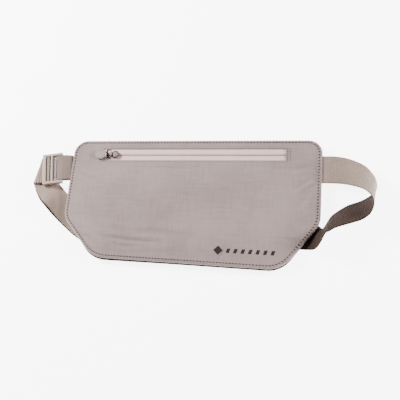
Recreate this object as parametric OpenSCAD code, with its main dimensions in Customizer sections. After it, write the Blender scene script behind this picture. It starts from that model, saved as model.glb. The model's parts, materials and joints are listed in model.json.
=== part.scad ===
// Waist money belt lying on its back: a flat zipped pouch, an elastic belt and a side-release buckle.
// Millimetres, +X along the pouch, +Y towards its zip edge, +Z up from the surface it lies on.

/* [Pouch] */
// Width of the pouch across its straight sides
pouch_w = 268; // [240:1:290]
// Height of the pouch from its straight top edge to its bottom edge
pouch_h = 137; // [125:1:150]
// Width of the pouch's bottom edge, between the two slanted corners
bottom_w = 195; // [150:1:220]
// How far the straight sides reach below the middle of the pouch
side_drop = 20; // [5:1:30]
// Thickness of each fabric panel
fabric_t = 0.7; // [0.5:0.1:1]
// Thickness of the whole flat pouch at its seam
pouch_t = 5.1; // [4.8:0.1:6]
// Height of the pouch's underside above the surface, which leaves room for the folded belt
pouch_z = 3.4; // [3.2:0.1:5]

/* [Zip] */
// Length of the window that shows the zip
zip_l = 196; // [150:1:205]
// Height of the window that shows the zip
zip_w = 12; // [10:0.5:14]
// Distance of the zip's centre line from the pouch's top edge
zip_drop = 17; // [15:0.5:24]
// Pitch of the coil's turns
coil_pitch = 1.6; // [1.2:0.1:2.4]
// Diameter of the round slider body
slider_d = 8; // [7:0.5:9]

/* [Belt] */
// Width of the elastic belt
belt_w = 30; // [25:1:31]
// Thickness of the elastic belt
belt_t = 1.3; // [1:0.1:1.4]

/* [Buckle] */
// Length of the closed buckle along the belt
buckle_l = 22; // [22:0.5:24]
// Height of the buckle across the belt
buckle_h = 35; // [34.5:0.5:37]
// Angle that the buckle hangs away from the pouch's own axis
buckle_turn = 8; // [0:1:10]

/* [Zip pull] */
// Length of the moulded pull
pull_l = 13.6; // [12.8:0.1:14]
// Height of the moulded pull across its widest place
pull_h = 11.6; // [10.8:0.1:12]
// Thickness of the moulded pull
pull_t = 2.2; // [2:0.1:2.2]

/* [Hidden] */

// The whole part is moved so that its bounding box stands centred on the origin.
centre_shift = [-6.3, -2, 0];

top_y = 70.5;
bottom_y = top_y - pouch_h;
fine = 32;
gap = 0.15;

// Heights of the pouch's layers, from the back panel upwards
back_top = pouch_z + fabric_t;
lining_t = 0.3;
panel_top = pouch_z + pouch_t;
panel_low = panel_top - fabric_t;
tape_t = 0.5;
tape_low = panel_low - tape_t;
front_lining_low = tape_low - lining_t;
seam_w = 7;

// Zip measures
zip_y = top_y - zip_drop;
zip_x0 = -100;
zip_x1 = zip_x0 + zip_l;
tape_w = 12;
centre_gap = 0.9;
coil_w = 1.3;
coil_h = 1.2;
slider_x = -86;
slider_low = panel_top + gap;
slider_t = 1.2;
bar_z = slider_low + 1.6;
wire_d = 1.1;
link_l = 4.8;
link_x = slider_x - slider_d / 2 - 0.8;
tab_joint_x = link_x - link_l;

// Buckle measures, in its own axes, with its middle at x = 0
buckle_at = [-154, 36.5];
buckle_z = 6.4;
rail = 2.9;
mouth_x = -1.9;
bar_x = -4.65;
plate_root_x = mouth_x + 0.35;

function unit(v) = v / norm(v);

// Outline of the pouch as [x, y, corner radius], anticlockwise from the top right
pouch_corners = [
    [pouch_w / 2 - 1, top_y, 15], [-pouch_w / 2 + 1, top_y, 15],
    [-pouch_w / 2, -side_drop, 26], [-bottom_w / 2, bottom_y, 30],
    [bottom_w / 2, bottom_y, 30], [pouch_w / 2, -side_drop, 26]];

// Points of a rounded outline, moved inwards by a margin
function corner_arc(before, at, after, r, inset) =
    let (u = unit(before - at), v = unit(after - at),
         half = acos(u * v) / 2, mid = unit(u + v),
         centre = at + mid * (r / sin(half)),
         a = atan2(-mid[1], -mid[0]), span = 90 - half)
    [for (k = [-4:4]) centre + (r - inset) * [cos(a + span * k / 4), sin(a + span * k / 4)]];
function rounded_outline(c, inset) =
    [for (i = [0:len(c) - 1])
        let (n = len(c), p = c[(i + n - 1) % n], q = c[i], s = c[(i + 1) % n])
        each corner_arc([p[0], p[1]], [q[0], q[1]], [s[0], s[1]], q[2], inset)];

module pouch_sheet(low, thick, inset) {
    translate([0, 0, low]) linear_extrude(thick) polygon(rounded_outline(pouch_corners, inset));
}
module zip_window(low, thick, grow) {
    translate([zip_x0 - grow, zip_y - zip_w / 2 - grow, low])
        cube([zip_l + 2 * grow, zip_w + 2 * grow, thick]);
}
module placed() { translate(centre_shift) children(); }

// ---- Pouch ----
module front_panel() {
    color([0.72, 0.67, 0.65]) placed() difference() {
        pouch_sheet(panel_low, fabric_t, 0);
        zip_window(panel_low - 1, fabric_t + 2, 0);
    }
}
module back_panel() {
    color([0.66, 0.61, 0.58]) placed() pouch_sheet(pouch_z, fabric_t, 0);
}
// The turned-in edges of both panels, sewn together all round
module edge_fold() {
    color([0.62, 0.57, 0.54]) placed() difference() {
        pouch_sheet(back_top, panel_low - back_top, 0);
        pouch_sheet(back_top - 1, panel_low - back_top + 2, seam_w);
        translate([zip_x0 - 6, zip_y - tape_w - 2, back_top - 1])
            cube([zip_l + 12, 2 * tape_w + 4, panel_low - back_top + 2]);
    }
}
module front_lining() {
    color([0.55, 0.56, 0.57]) placed() difference() {
        pouch_sheet(front_lining_low, lining_t, seam_w + gap);
        zip_window(front_lining_low - 1, lining_t + 2, -2);
    }
}
module back_lining() {
    color([0.55, 0.56, 0.57]) placed() pouch_sheet(back_top, lining_t, seam_w + gap);
}
// The sheet that splits the inside into a front and a back pocket, open towards the zip
module inner_divider() {
    color([0.6, 0.57, 0.54]) placed() difference() {
        pouch_sheet(back_top + 0.8, 0.4, seam_w + gap);
        translate([-pouch_w, zip_y - 14, back_top]) cube([2 * pouch_w, 60, 3]);
    }
}
module thread_ring(inset) {
    difference() {
        pouch_sheet(panel_top, 0.25, inset);
        pouch_sheet(panel_top - 1, 2, inset + 0.6);
    }
}
module edge_stitching() {
    color([0.45, 0.4, 0.38]) placed() thread_ring(3);
}
// A plain ink mark: a turned square and a row of slanted bars
module printed_mark() {
    ink_t = 0.1;
    square_w = 6.8;
    square_x = 34;
    bar_x0 = 44;
    bar_pitch = 6.6;
    bar_count = 7;
    color([0.38, 0.34, 0.32]) placed() translate([0, bottom_y + 15.5, panel_top]) {
        translate([square_x, 0, 0]) rotate([0, 0, 45]) translate([-square_w / 2, -square_w / 2, 0])
            cube([square_w, square_w, ink_t]);
        for (i = [0:bar_count - 1]) translate([bar_x0 + bar_pitch * i, 0, 0]) linear_extrude(ink_t)
            polygon([[-2.2, -2.2], [1, -2.2], [2.4, 2.2], [-0.8, 2.2]]);
    }
}

// ---- Zip ----
module zip_tape(side) {
    translate([zip_x0 - 5, side > 0 ? zip_y + centre_gap / 2 : zip_y - centre_gap / 2 - tape_w, tape_low])
        cube([zip_l + 10, tape_w, tape_t]);
}
module zip_tape_upper() {
    color([0.78, 0.72, 0.71]) placed() zip_tape(1);
}
module zip_tape_lower() {
    color([0.78, 0.72, 0.71]) placed() zip_tape(-1);
}
// One side of the reversed coil, as a comb of turns under its tape
module zip_coil(side) {
    turns = floor((zip_l - 10) / coil_pitch);
    mirrored = side > 0 ? 0 : 1;
    translate([zip_x0 + 5, zip_y, tape_low - coil_h]) mirror([0, mirrored, 0]) {
        translate([0, centre_gap / 2 + coil_w - 0.4, 0]) cube([turns * coil_pitch, 0.4, coil_h]);
        for (i = [0:turns - 1]) translate([i * coil_pitch, centre_gap / 2, 0])
            cube([coil_pitch * 0.55, coil_w - 0.4, coil_h]);
    }
}
module zip_coil_upper() {
    color([0.74, 0.68, 0.67]) placed() zip_coil(1);
}
module zip_coil_lower() {
    color([0.74, 0.68, 0.67]) placed() zip_coil(-1);
}
module zip_stop(x) {
    translate([x, zip_y, tape_low - coil_h]) for (side = [0, 1]) mirror([0, side, 0])
        translate([0, centre_gap / 2, 0]) cube([2, coil_w, coil_h]);
}
module zip_closed_stop() {
    color("silver") placed() zip_stop(zip_x0 + 2.4);
}
module zip_open_stop() {
    color("silver") placed() zip_stop(zip_x1 - 4.6);
}
module zip_window_stitching() {
    color([0.6, 0.54, 0.52]) placed() translate([0, 0, panel_top]) linear_extrude(0.2) difference() {
        translate([zip_x0 - 2.4, zip_y - zip_w / 2 - 2.4]) square([zip_l + 4.8, zip_w + 4.8]);
        translate([zip_x0 - 1.9, zip_y - zip_w / 2 - 1.9]) square([zip_l + 3.8, zip_w + 3.8]);
    }
}
// Round top plate, a thin post between the tapes, a lower plate under the coils, and a bail
module zip_slider() {
    low = tape_low - coil_h - gap - 0.7;
    color([0.7, 0.65, 0.62]) placed() difference() {
        union() {
            translate([slider_x, zip_y, slider_low]) cylinder(d = slider_d, h = slider_t, $fn = 48);
            translate([slider_x, zip_y, low]) cylinder(d = slider_d - 1, h = 0.7, $fn = 48);
            translate([slider_x - 1.5, zip_y - 0.25, low]) cube([3, 0.5, slider_low - low + 0.5]);
            translate([link_x - 1.3, zip_y - 1.6, slider_low]) cube([5, 3.2, slider_t]);
            translate([link_x - 1.3, zip_y - 1.6, slider_low]) cube([2.6, 3.2, 2.9]);
        }
        translate([link_x, zip_y + 3, bar_z]) rotate([90, 0, 0]) cylinder(r = wire_d / 2 + 0.06, h = 6, $fn = fine);
    }
}
module wire(length) {
    cylinder(d = wire_d, h = length, $fn = fine);
}
// Wire loop between the slider and the pull, with its corners bent round
module zip_pull_link() {
    half = 4.5;
    bend = 1;
    color([0.2, 0.19, 0.19]) placed() translate([(link_x + tab_joint_x) / 2, zip_y, bar_z])
        for (turn = [0, 180]) rotate([0, 0, turn]) {
            translate([link_l / 2, half - bend, 0]) rotate([90, 0, 0]) wire(2 * (half - bend));
            translate([-link_l / 2 + bend, half, 0]) rotate([0, 90, 0]) wire(link_l - 2 * bend);
            for (side = [0, 1]) mirror([0, side, 0]) translate([link_l / 2 - bend, half - bend, 0])
                rotate_extrude(angle = 90, $fn = fine) translate([bend, 0]) circle(d = wire_d, $fn = fine);
        }
}
// Moulded pull: a round leaf, and a narrower neck that turns on the wire between its two arms
module zip_pull_tab() {
    neck_h = 6.8;
    neck_clear = 1.2;
    r = pull_h / 2;
    left = tab_joint_x + pull_t / 2 + 0.4 - pull_l;
    leaf_x = left + r;
    leaf_end = tab_joint_x - neck_clear;
    color([0.71, 0.67, 0.66]) placed() translate([0, zip_y, bar_z]) difference() {
        union() {
            intersection() {
                translate([leaf_x, 0, -pull_t / 2]) cylinder(r = r, h = pull_t, $fn = 64);
                translate([left - 1, -r, -pull_t]) cube([leaf_end - left + 1, 2 * r, 2 * pull_t]);
            }
            translate([leaf_end - 1, -neck_h / 2, -pull_t / 2]) cube([neck_clear + 1, neck_h, pull_t]);
            translate([tab_joint_x, neck_h / 2, 0]) rotate([90, 0, 0])
                cylinder(d = pull_t, h = neck_h, $fn = fine);
        }
        translate([tab_joint_x, neck_h / 2 + 1, 0]) rotate([90, 0, 0])
            cylinder(r = wire_d / 2 + 0.06, h = neck_h + 2, $fn = fine);
    }
}

// ---- Buckle ----
module in_buckle() {
    placed() translate([buckle_at[0], buckle_at[1], buckle_z]) rotate([0, 0, buckle_turn]) children();
}
module bar_between_rails(x0, x1, z0, z1) {
    translate([x0, -buckle_h / 2 + rail - 0.01, z0]) cube([x1 - x0, buckle_h - 2 * rail + 0.02, z1 - z0]);
}
module rails(x0, x1, z0, z1) {
    for (y = [-buckle_h / 2, buckle_h / 2 - rail]) translate([x0, y, z0]) cube([x1 - x0, rail, z1 - z0]);
}
// Frame fixed to the pouch: two rails, a floor, a bridge over the mouth and a round bar for the tab
module buckle_receiver() {
    color([0.68, 0.63, 0.61]) in_buckle() {
        difference() {
            union() {
                rails(mouth_x, buckle_l / 2, 0, 4.4);
                bar_between_rails(mouth_x, 4.3, 0, 0.8);
                bar_between_rails(mouth_x, 0.2, 2.8, 4.4);
            }
            translate([mouth_x - 1, -13.7, 0.85]) cube([6.4, 27.4, 1.9]);
        }
        translate([7, buckle_h / 2 - rail + 0.2, 2.2]) rotate([90, 0, 0])
            cylinder(d = 1.8, h = buckle_h - 2 * rail + 0.4, $fn = fine);
    }
}
// Ladder end of the belt: outer bar, middle bar and two prongs that slide into the frame
module buckle_insert() {
    color([0.72, 0.67, 0.64]) in_buckle() {
        rails(-buckle_l / 2, mouth_x - 0.2, 0.3, 4.6);
        bar_between_rails(-buckle_l / 2, -buckle_l / 2 + 3.6, 2.6, 4.8);
        translate([bar_x, buckle_h / 2 - rail + 0.2, 1.9]) rotate([90, 0, 0])
            cylinder(d = 1.3, h = buckle_h - 2 * rail + 0.4, $fn = fine);
        bar_between_rails(mouth_x - 0.6, mouth_x - 0.2, 1.2, 2.6);
        for (y = [-13.5, 10.6]) translate([mouth_x - 0.2, y, 1.2]) cube([6.2, 2.9, 1.4]);
    }
}
// Sprung plate between the prongs, which turns on its rounded root when it is pressed to let go
module buckle_release_plate() {
    plate_l = 5.8;
    plate_w = 20.6;
    plate_t = 0.9;
    color([0.66, 0.62, 0.62]) in_buckle() translate([plate_root_x, 0, 1.6]) {
        translate([0, -plate_w / 2, 0]) cube([plate_l - plate_t / 2, plate_w, plate_t]);
        translate([0, plate_w / 2, plate_t / 2]) rotate([90, 0, 0])
            cylinder(d = plate_t, h = plate_w, $fn = fine);
    }
}
// Fabric strap folded round the frame's bar and sewn into the pouch's side seam
module buckle_tab() {
    strap_t = 0.9;
    ring = 1.15;
    color([0.72, 0.65, 0.62]) difference() {
        in_buckle() translate([0, 14.2, 0]) rotate([90, 0, 0]) linear_extrude(28.4) difference() {
            union() {
                translate([7, 2.2]) circle(r = ring + strap_t, $fn = 48);
                translate([7, 2.2 - ring - strap_t]) square([16, 2 * (ring + strap_t)]);
            }
            translate([7, 2.2]) circle(r = ring, $fn = 48);
            translate([7, 2.2 - ring]) square([4.2, 2 * ring]);
        }
        placed() translate([-pouch_w / 2 - 0.1, -50, -10]) cube([80, 150, 60]);
    }
}
module buckle_tab_stitching() {
    color([0.5, 0.45, 0.43]) in_buckle() for (x = [12.6, 15.6]) for (y = [-12:2.4:12])
        translate([x, y - 0.7, 4.25]) cube([0.5, 1.4, 0.2]);
}

// ---- Belt ----
// Each station of the belt is [x, y, z, wx, wy, wz]: its middle and the direction across it.
// The belt starts at the left turn, passes under the pouch and rolls over on the right.
belt_route = [
    [-170, 32.5, 1.5, -0.28, -0.95, 0.05],
    [-165.5, 25.5, 2.2, -0.36, -0.92, 0.1], [-159, 15.5, 3.7, -0.36, -0.9, 0.2],
    [-151, 6, 5.6, -0.28, -0.9, 0.33], [-142, -3, 2.5, -0.2, -0.97, 0.1],
    [-132, -12, 0.75, -0.14, -0.99, 0], [-121, -21, 0.68, -0.1, -1, 0],
    [-108, -29, 0.65, -0.05, -1, 0], [-93, -35.5, 0.65, 0, -1, 0],
    [-75, -40, 0.65, 0, -1, 0], [-50, -42.5, 0.65, 0, -1, 0],
    [0, -43, 0.65, 0, -1, 0], [35, -41.5, 0.65, 0, -1, 0],
    [65, -38.5, 0.65, 0, -1, 0], [90, -34.5, 0.65, 0, -1, 0],
    [112, -31.5, 0.95, 0, -1, 0.02], [121, -32.3, 2.2, 0, -1, 0.09],
    [129, -33.5, 4.6, 0.03, -0.97, 0.25], [134.5, -33.2, 10.2, 0.08, -0.76, 0.62],
    [138.6, -30.5, 13.9, 0.12, -0.5, 0.86], [143.6, -22.6, 11.4, 0.04, -0.72, 0.69],
    [148.5, -18.4, 10.8, 0.06, -0.76, 0.65], [154.8, -14.5, 9.8, 0.09, -0.8, 0.59],
    [163, -10.5, 9, 0.14, -0.83, 0.53],
    [172.5, -7, 8.9, 0.15, -0.82, 0.53], [180, -2.5, 10.5, 0.15, -0.78, 0.6],
    [185, 3, 13.5, 0.05, -0.7, 0.7], [186.5, 9, 16, -0.08, -0.69, 0.7],
    [184.5, 15.5, 17, -0.14, -0.79, 0.6], [180, 21.5, 16.5, -0.13, -0.87, 0.47],
    [174, 27, 14.3, -0.13, -0.93, 0.33], [165.5, 31.5, 12, -0.1, -0.97, 0.2],
    [155.5, 35.5, 9, -0.03, -1, 0.07], [145, 37.5, 6.9, 0, -1, 0],
    [134.6, 38, 6, 0, -1, 0]];
// The left turn up to the buckle: the belt itself outside, and its free end inside
turn_route = [
    [-170.3, 32.9, 1.6, -0.28, -0.95, 0.05], [-172.2, 34.6, 3.5, -0.22, -0.97, 0.02],
    [-171.6, 34.8, 6, -0.18, -0.98, 0], [-169.3, 34.8, 7.7, -0.05, -1, 0], [-166.3, 34.8, 8, 0.1, -0.99, 0]];
tail_turn_route = [
    [-169.95, 32.9, 3.3, -0.28, -0.95, 0.05], [-170.2, 34.6, 4.2, -0.22, -0.97, 0.02],
    [-169.8, 34.8, 5.3, -0.15, -0.98, 0], [-168.5, 34.8, 6.2, -0.02, -1, 0],
    [-166.3, 34.8, 6.35, 0.1, -0.99, 0]];
// The belt's way round the buckle's middle bar, as [x, z] in the buckle's own axes
bar_route = [[-9.4, 1.6], [-7.2, 1.7], [-6.25, 2.4], [-5.6, 3.4], [-4.65, 3.8], [-3.7, 3.3],
             [-3.25, 1.9], [-3.7, 0.5], [-4.65, -0.05], [-6.4, -0.05], [-9.4, -0.05]];
layer_step = 1.65;
tail_stations = 7;

// A smooth curve through every station
function curve_at(a, b, c, d, t) =
    0.5 * (2 * b + (c - a) * t + (2 * a - 5 * b + 4 * c - d) * t * t + (3 * b - a - 3 * c + d) * t * t * t);
function smooth(list, steps) =
    let (n = len(list))
    [for (i = [0:n - 2]) for (k = [0:steps - 1])
        curve_at(list[max(i - 1, 0)], list[i], list[i + 1], list[min(i + 2, n - 1)], k / steps),
     list[n - 1]];
function place_of(s) = [s[0], s[1], s[2]];
function across(s) = unit([s[3], s[4], s[5]]);
function along(list, i) = unit(place_of(list[min(i + 1, len(list) - 1)]) - place_of(list[max(i - 1, 0)]));
function face_of(list, i) = unit(cross(across(list[i]), along(list, i)));
// The same stations moved off the belt's face by a distance
function lifted(list, d) =
    [for (i = [0:len(list) - 1]) let (p = place_of(list[i]) + face_of(list, i) * d, w = across(list[i]))
        [p[0], p[1], p[2], w[0], w[1], w[2]]];
function from_buckle(q) =
    let (c = cos(buckle_turn), s = sin(buckle_turn))
    [buckle_at[0] + q[0] * c, buckle_at[1] + q[0] * s, buckle_z + q[1], s, -c, 0];

// A flat strip of belt swept along its stations
module ribbon(list, width, thick) {
    n = len(list);
    ring = function (i)
        let (p = place_of(list[i]), w = across(list[i]) * width / 2, f = face_of(list, i) * thick / 2)
        [p - w - f, p + w - f, p + w + f, p - w + f];
    points = [for (i = [0:n - 1]) each ring(i)];
    sides = [for (i = [0:n - 2]) for (k = [0:3])
        let (a = 4 * i + k, b = 4 * i + (k + 1) % 4)
        each k < 2 ? [[a, a + 4, b], [b, a + 4, b + 4]] : [[a, a + 4, b + 4], [a, b + 4, b]]];
    polyhedron(points, concat(sides, [[0, 1, 2], [0, 2, 3]],
        [[4 * n - 2, 4 * n - 3, 4 * n - 4], [4 * n - 1, 4 * n - 2, 4 * n - 4]]));
}
module elastic_belt() {
    color([0.71, 0.66, 0.62]) placed() ribbon(smooth(belt_route, 3), belt_w, belt_t);
}
// The free end, folded back inside the left turn and lying on the belt
function tail_route() =
    lifted(smooth([for (i = [0:tail_stations]) belt_route[i]], 3), layer_step);
module belt_tail() {
    color([0.69, 0.64, 0.6]) placed() ribbon(tail_route(), belt_w - 0.4, belt_t);
}
// The doubled end of the tail, just past where the tail stops
module belt_tail_hem() {
    n = tail_stations;
    hem_t = 1.7;
    end = [for (t = [0.05, 0.25, 0.45])
        curve_at(belt_route[n - 1], belt_route[n], belt_route[n + 1], belt_route[n + 2], t)];
    color([0.66, 0.61, 0.57]) placed() ribbon(lifted(end, (belt_t + hem_t) / 2 + 0.2), belt_w - 1, hem_t);
}
// The piece of belt that rides on the buckle's insert: in over the middle bar and out as the tail
module belt_adjuster_loop() {
    inside = [for (i = [len(tail_turn_route) - 1:-1:0]) tail_turn_route[i]];
    color([0.73, 0.68, 0.65]) placed()
        ribbon(smooth(concat(turn_route, [for (q = bar_route) from_buckle(q)], inside), 3), belt_w - 1.4, belt_t);
}
// Rows of thread that hold the belt's fixed end in the pouch's right seam
module belt_anchor_stitching() {
    color([0.5, 0.45, 0.43]) placed() for (x = [pouch_w / 2 - 8.5, pouch_w / 2 - 6]) for (i = [0:9])
        translate([x, 25 + 2.8 * i, panel_top]) cube([0.5, 1.7, 0.2]);
}

front_panel();
back_panel();
edge_fold();
front_lining();
back_lining();
inner_divider();
edge_stitching();
printed_mark();
zip_tape_upper();
zip_tape_lower();
zip_coil_upper();
zip_coil_lower();
zip_closed_stop();
zip_open_stop();
zip_window_stitching();
zip_slider();
zip_pull_link();
zip_pull_tab();
buckle_tab();
buckle_tab_stitching();
buckle_receiver();
buckle_insert();
buckle_release_plate();
belt_adjuster_loop();
elastic_belt();
belt_tail();
belt_tail_hem();
belt_anchor_stitching();
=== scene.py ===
# Waist money belt lying on its back: flat zipped pouch, elastic belt, side-release buckle
import bpy
import json
import math
import random
import numpy as np
from mathutils import Vector, Matrix, noise

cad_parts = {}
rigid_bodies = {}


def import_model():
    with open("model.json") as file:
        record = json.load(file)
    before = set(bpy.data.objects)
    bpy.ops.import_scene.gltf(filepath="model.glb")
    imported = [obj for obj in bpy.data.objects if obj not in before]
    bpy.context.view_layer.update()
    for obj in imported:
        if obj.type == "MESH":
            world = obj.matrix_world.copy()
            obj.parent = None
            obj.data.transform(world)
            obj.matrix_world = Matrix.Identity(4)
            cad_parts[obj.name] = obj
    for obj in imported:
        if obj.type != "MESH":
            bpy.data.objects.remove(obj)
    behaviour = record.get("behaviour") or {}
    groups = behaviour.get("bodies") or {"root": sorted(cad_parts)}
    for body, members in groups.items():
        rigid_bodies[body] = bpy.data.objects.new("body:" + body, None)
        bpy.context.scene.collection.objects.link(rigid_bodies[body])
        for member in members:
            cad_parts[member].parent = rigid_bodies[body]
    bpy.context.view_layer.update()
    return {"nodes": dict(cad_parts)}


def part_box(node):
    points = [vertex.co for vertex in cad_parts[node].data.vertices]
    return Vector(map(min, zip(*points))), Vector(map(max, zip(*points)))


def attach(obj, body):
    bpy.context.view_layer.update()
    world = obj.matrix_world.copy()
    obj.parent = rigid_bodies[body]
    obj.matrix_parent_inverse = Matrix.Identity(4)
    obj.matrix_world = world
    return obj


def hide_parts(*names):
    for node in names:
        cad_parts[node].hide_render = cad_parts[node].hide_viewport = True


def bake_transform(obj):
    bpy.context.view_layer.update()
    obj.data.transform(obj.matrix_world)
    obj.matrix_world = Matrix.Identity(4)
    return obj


for leftover in list(bpy.data.objects):
    bpy.data.objects.remove(leftover, do_unlink=True)
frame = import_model()
random.seed(7)

# Every piece is drawn in millimetres round the pouch's own middle, then moved into the frame
mm = 0.001
panelLow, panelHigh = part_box("front_panel")
topY = 70.5
faceZ = panelHigh[2] / mm          # top of the front cloth
pouchMid = ((panelLow[0] + panelHigh[0]) / 2, panelHigh[1] - topY * mm)
print("frame loaded, pouch middle at", [round(v, 4) for v in pouchMid])


# seen from the pouch's lower right, high up, with the camera rolled
camSet = {"elevation": 65.0, "azimuth": 29.8, "roll": -26.8, "distance": 0.93,
          "target": (0.0024, 0.004, 0.0), "lens": 81.0, "sensor": 36.0, "reach": 20.0}


def makeCamera(s):
    e, a, r = (math.radians(s[k]) for k in ("elevation", "azimuth", "roll"))
    back = Vector((math.sin(a) * math.cos(e), -math.cos(a) * math.cos(e), math.sin(e)))
    side = (-back).cross(Vector((0, 0, 1))).normalized()
    up = side.cross(-back)
    right = math.cos(r) * side + math.sin(r) * up
    top = -math.sin(r) * side + math.cos(r) * up
    data = bpy.data.cameras.new("camera")
    data.lens = s["lens"]
    data.sensor_width = s["sensor"]
    data.clip_end = s["reach"]
    cam = bpy.data.objects.new("camera", data)
    bpy.context.collection.objects.link(cam)
    turn = Matrix((right, top, back)).transposed()
    cam.matrix_world = Matrix.Translation(Vector(s["target"]) + back * s["distance"]) @ turn.to_4x4()
    bpy.context.scene.camera = cam


makeCamera(camSet)
print("camera set")


# millimetres round the pouch's middle to metres in the frame
def toFrame(points):
    p = np.asarray(points, float).reshape(-1, 3) * mm
    return p + np.array([pouchMid[0], pouchMid[1], 0.0])


# a named mesh with one material, riding on its body
def makePiece(name, points, faces, material, body="root", uvs=None):
    mesh = bpy.data.meshes.new(name)
    mesh.from_pydata(toFrame(points).tolist(), [], faces)
    mesh.update()
    mesh.materials.append(material)
    mesh.shade_smooth()
    if uvs is not None:
        layer = mesh.uv_layers.new(name="strap")
        for loop in mesh.loops:
            layer.data[loop.index].uv = uvs[loop.vertex_index]
    piece = bpy.data.objects.new(name, mesh)
    bpy.context.collection.objects.link(piece)
    if body:
        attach(piece, body)
    return piece


# gives an open sheet its cloth thickness
def thicken(piece, amount, offset=-1.0):
    mod = piece.modifiers.new("thickness", "SOLIDIFY")
    mod.thickness = amount * mm
    mod.offset = offset
    mod.use_even_offset = False
    applyAll(piece)


# bakes every modifier into the piece's own mesh
def applyAll(piece):
    graph = bpy.context.evaluated_depsgraph_get()
    graph.update()
    done = bpy.data.meshes.new_from_object(piece.evaluated_get(graph))
    old = piece.data
    piece.modifiers.clear()
    piece.data = done
    done.name = piece.name
    bpy.data.meshes.remove(old)


def smoothstep(t):
    t = np.clip(t, 0.0, 1.0)
    return t * t * (3 - 2 * t)


def startMaterial(name, roughness, metallic=0.0, sheen=0.0, gloss=0.5):
    mat = bpy.data.materials.new(name)
    mat.use_nodes = True
    tree = mat.node_tree
    shader = tree.nodes["Principled BSDF"]
    shader.inputs["Roughness"].default_value = roughness
    shader.inputs["Metallic"].default_value = metallic
    shader.inputs["Sheen Weight"].default_value = sheen
    shader.inputs["Specular IOR Level"].default_value = gloss
    return mat, tree, shader


# one sum in the material, on sockets or plain numbers
def calc(tree, operation, a, b=None, c=None):
    node = tree.nodes.new("ShaderNodeMath")
    node.operation = operation
    for slot, value in enumerate((a, b, c)):
        if value is None:
            continue
        if isinstance(value, (int, float)):
            node.inputs[slot].default_value = value
        else:
            tree.links.new(value, node.inputs[slot])
    return node.outputs[0]


def splitCoords(tree, kind):
    coords = tree.nodes.new("ShaderNodeTexCoord")
    parts = tree.nodes.new("ShaderNodeSeparateXYZ")
    tree.links.new(coords.outputs[kind], parts.inputs[0])
    return coords.outputs[kind], parts.outputs[0], parts.outputs[1], parts.outputs[2]


# cloudy noise, drawn out along an axis where stretch says so
def speckle(tree, vector, scale, detail=3.0, stretch=None):
    if stretch:
        mapping = tree.nodes.new("ShaderNodeMapping")
        mapping.inputs["Scale"].default_value = stretch
        tree.links.new(vector, mapping.inputs["Vector"])
        vector = mapping.outputs[0]
    node = tree.nodes.new("ShaderNodeTexNoise")
    node.inputs["Scale"].default_value = scale
    node.inputs["Detail"].default_value = detail
    tree.links.new(vector, node.inputs["Vector"])
    return node.outputs["Fac"]


# two tones of one colour, blended by a texture
def colourFrom(tree, shader, factor, low, high, at=(0.0, 1.0)):
    ramp = tree.nodes.new("ShaderNodeValToRGB")
    ramp.color_ramp.elements[0].position = at[0]
    ramp.color_ramp.elements[0].color = (*low, 1)
    ramp.color_ramp.elements[1].position = at[1]
    ramp.color_ramp.elements[1].color = (*high, 1)
    tree.links.new(factor, ramp.inputs[0])
    tree.links.new(ramp.outputs[0], shader.inputs["Base Color"])


def bumpFrom(tree, shader, height, strength, distance):
    bump = tree.nodes.new("ShaderNodeBump")
    bump.inputs["Strength"].default_value = strength
    bump.inputs["Distance"].default_value = distance
    tree.links.new(height, bump.inputs["Height"])
    tree.links.new(bump.outputs[0], shader.inputs["Normal"])


def shade(colour, factor):
    return tuple(min(1.0, c * factor) for c in colour)


# plain weave: crossing yarns, slubs along both directions and soft patches of tone
weave = {"slubScale": 420.0, "slubLength": 0.12, "patchScale": 18.0, "yarn": 0.45, "slub": 0.5}


def wovenCloth(name, colour, pitch, roughness=0.85, depth=0.00012, sheen=0.25, patch=0.06, gloss=0.5):
    mat, tree, shader = startMaterial(name, roughness, sheen=sheen, gloss=gloss)
    vector, x, y = splitCoords(tree, "Object")[:3]
    turn = 2 * math.pi / pitch
    warp = calc(tree, "SINE", calc(tree, "MULTIPLY", x, turn))
    weft = calc(tree, "SINE", calc(tree, "MULTIPLY", y, turn))
    crossing = calc(tree, "MULTIPLY_ADD", calc(tree, "MULTIPLY", warp, weft), 0.5, 0.5)
    slubX = speckle(tree, vector, weave["slubScale"], 3.0, (weave["slubLength"], 1.0, 1.0))
    slubY = speckle(tree, vector, weave["slubScale"], 3.0, (1.0, weave["slubLength"], 1.0))
    yarn = calc(tree, "MULTIPLY", crossing, weave["yarn"])
    yarn = calc(tree, "ADD", yarn, calc(tree, "MULTIPLY", slubX, weave["slub"]))
    yarn = calc(tree, "ADD", yarn, calc(tree, "MULTIPLY", slubY, weave["slub"]))
    soft = speckle(tree, vector, weave["patchScale"], 4.0)
    tone = calc(tree, "ADD", calc(tree, "MULTIPLY", yarn, 0.55), calc(tree, "MULTIPLY", soft, 0.6))
    dark = shade(colour, 1 - patch * 3.2)
    light = shade(colour, 1 + patch * 2.4)
    colourFrom(tree, shader, tone, dark, light, (0.38, 0.86))
    bumpFrom(tree, shader, yarn, 0.5, depth)
    return mat


# knitted elastic: cross ribs of small chevrons between fine lengthways grooves, with firm selvedges
knit = {"selvedge": 1.4, "grainScale": 800.0, "patchScale": 45.0, "zigzag": 0.8}


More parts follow.
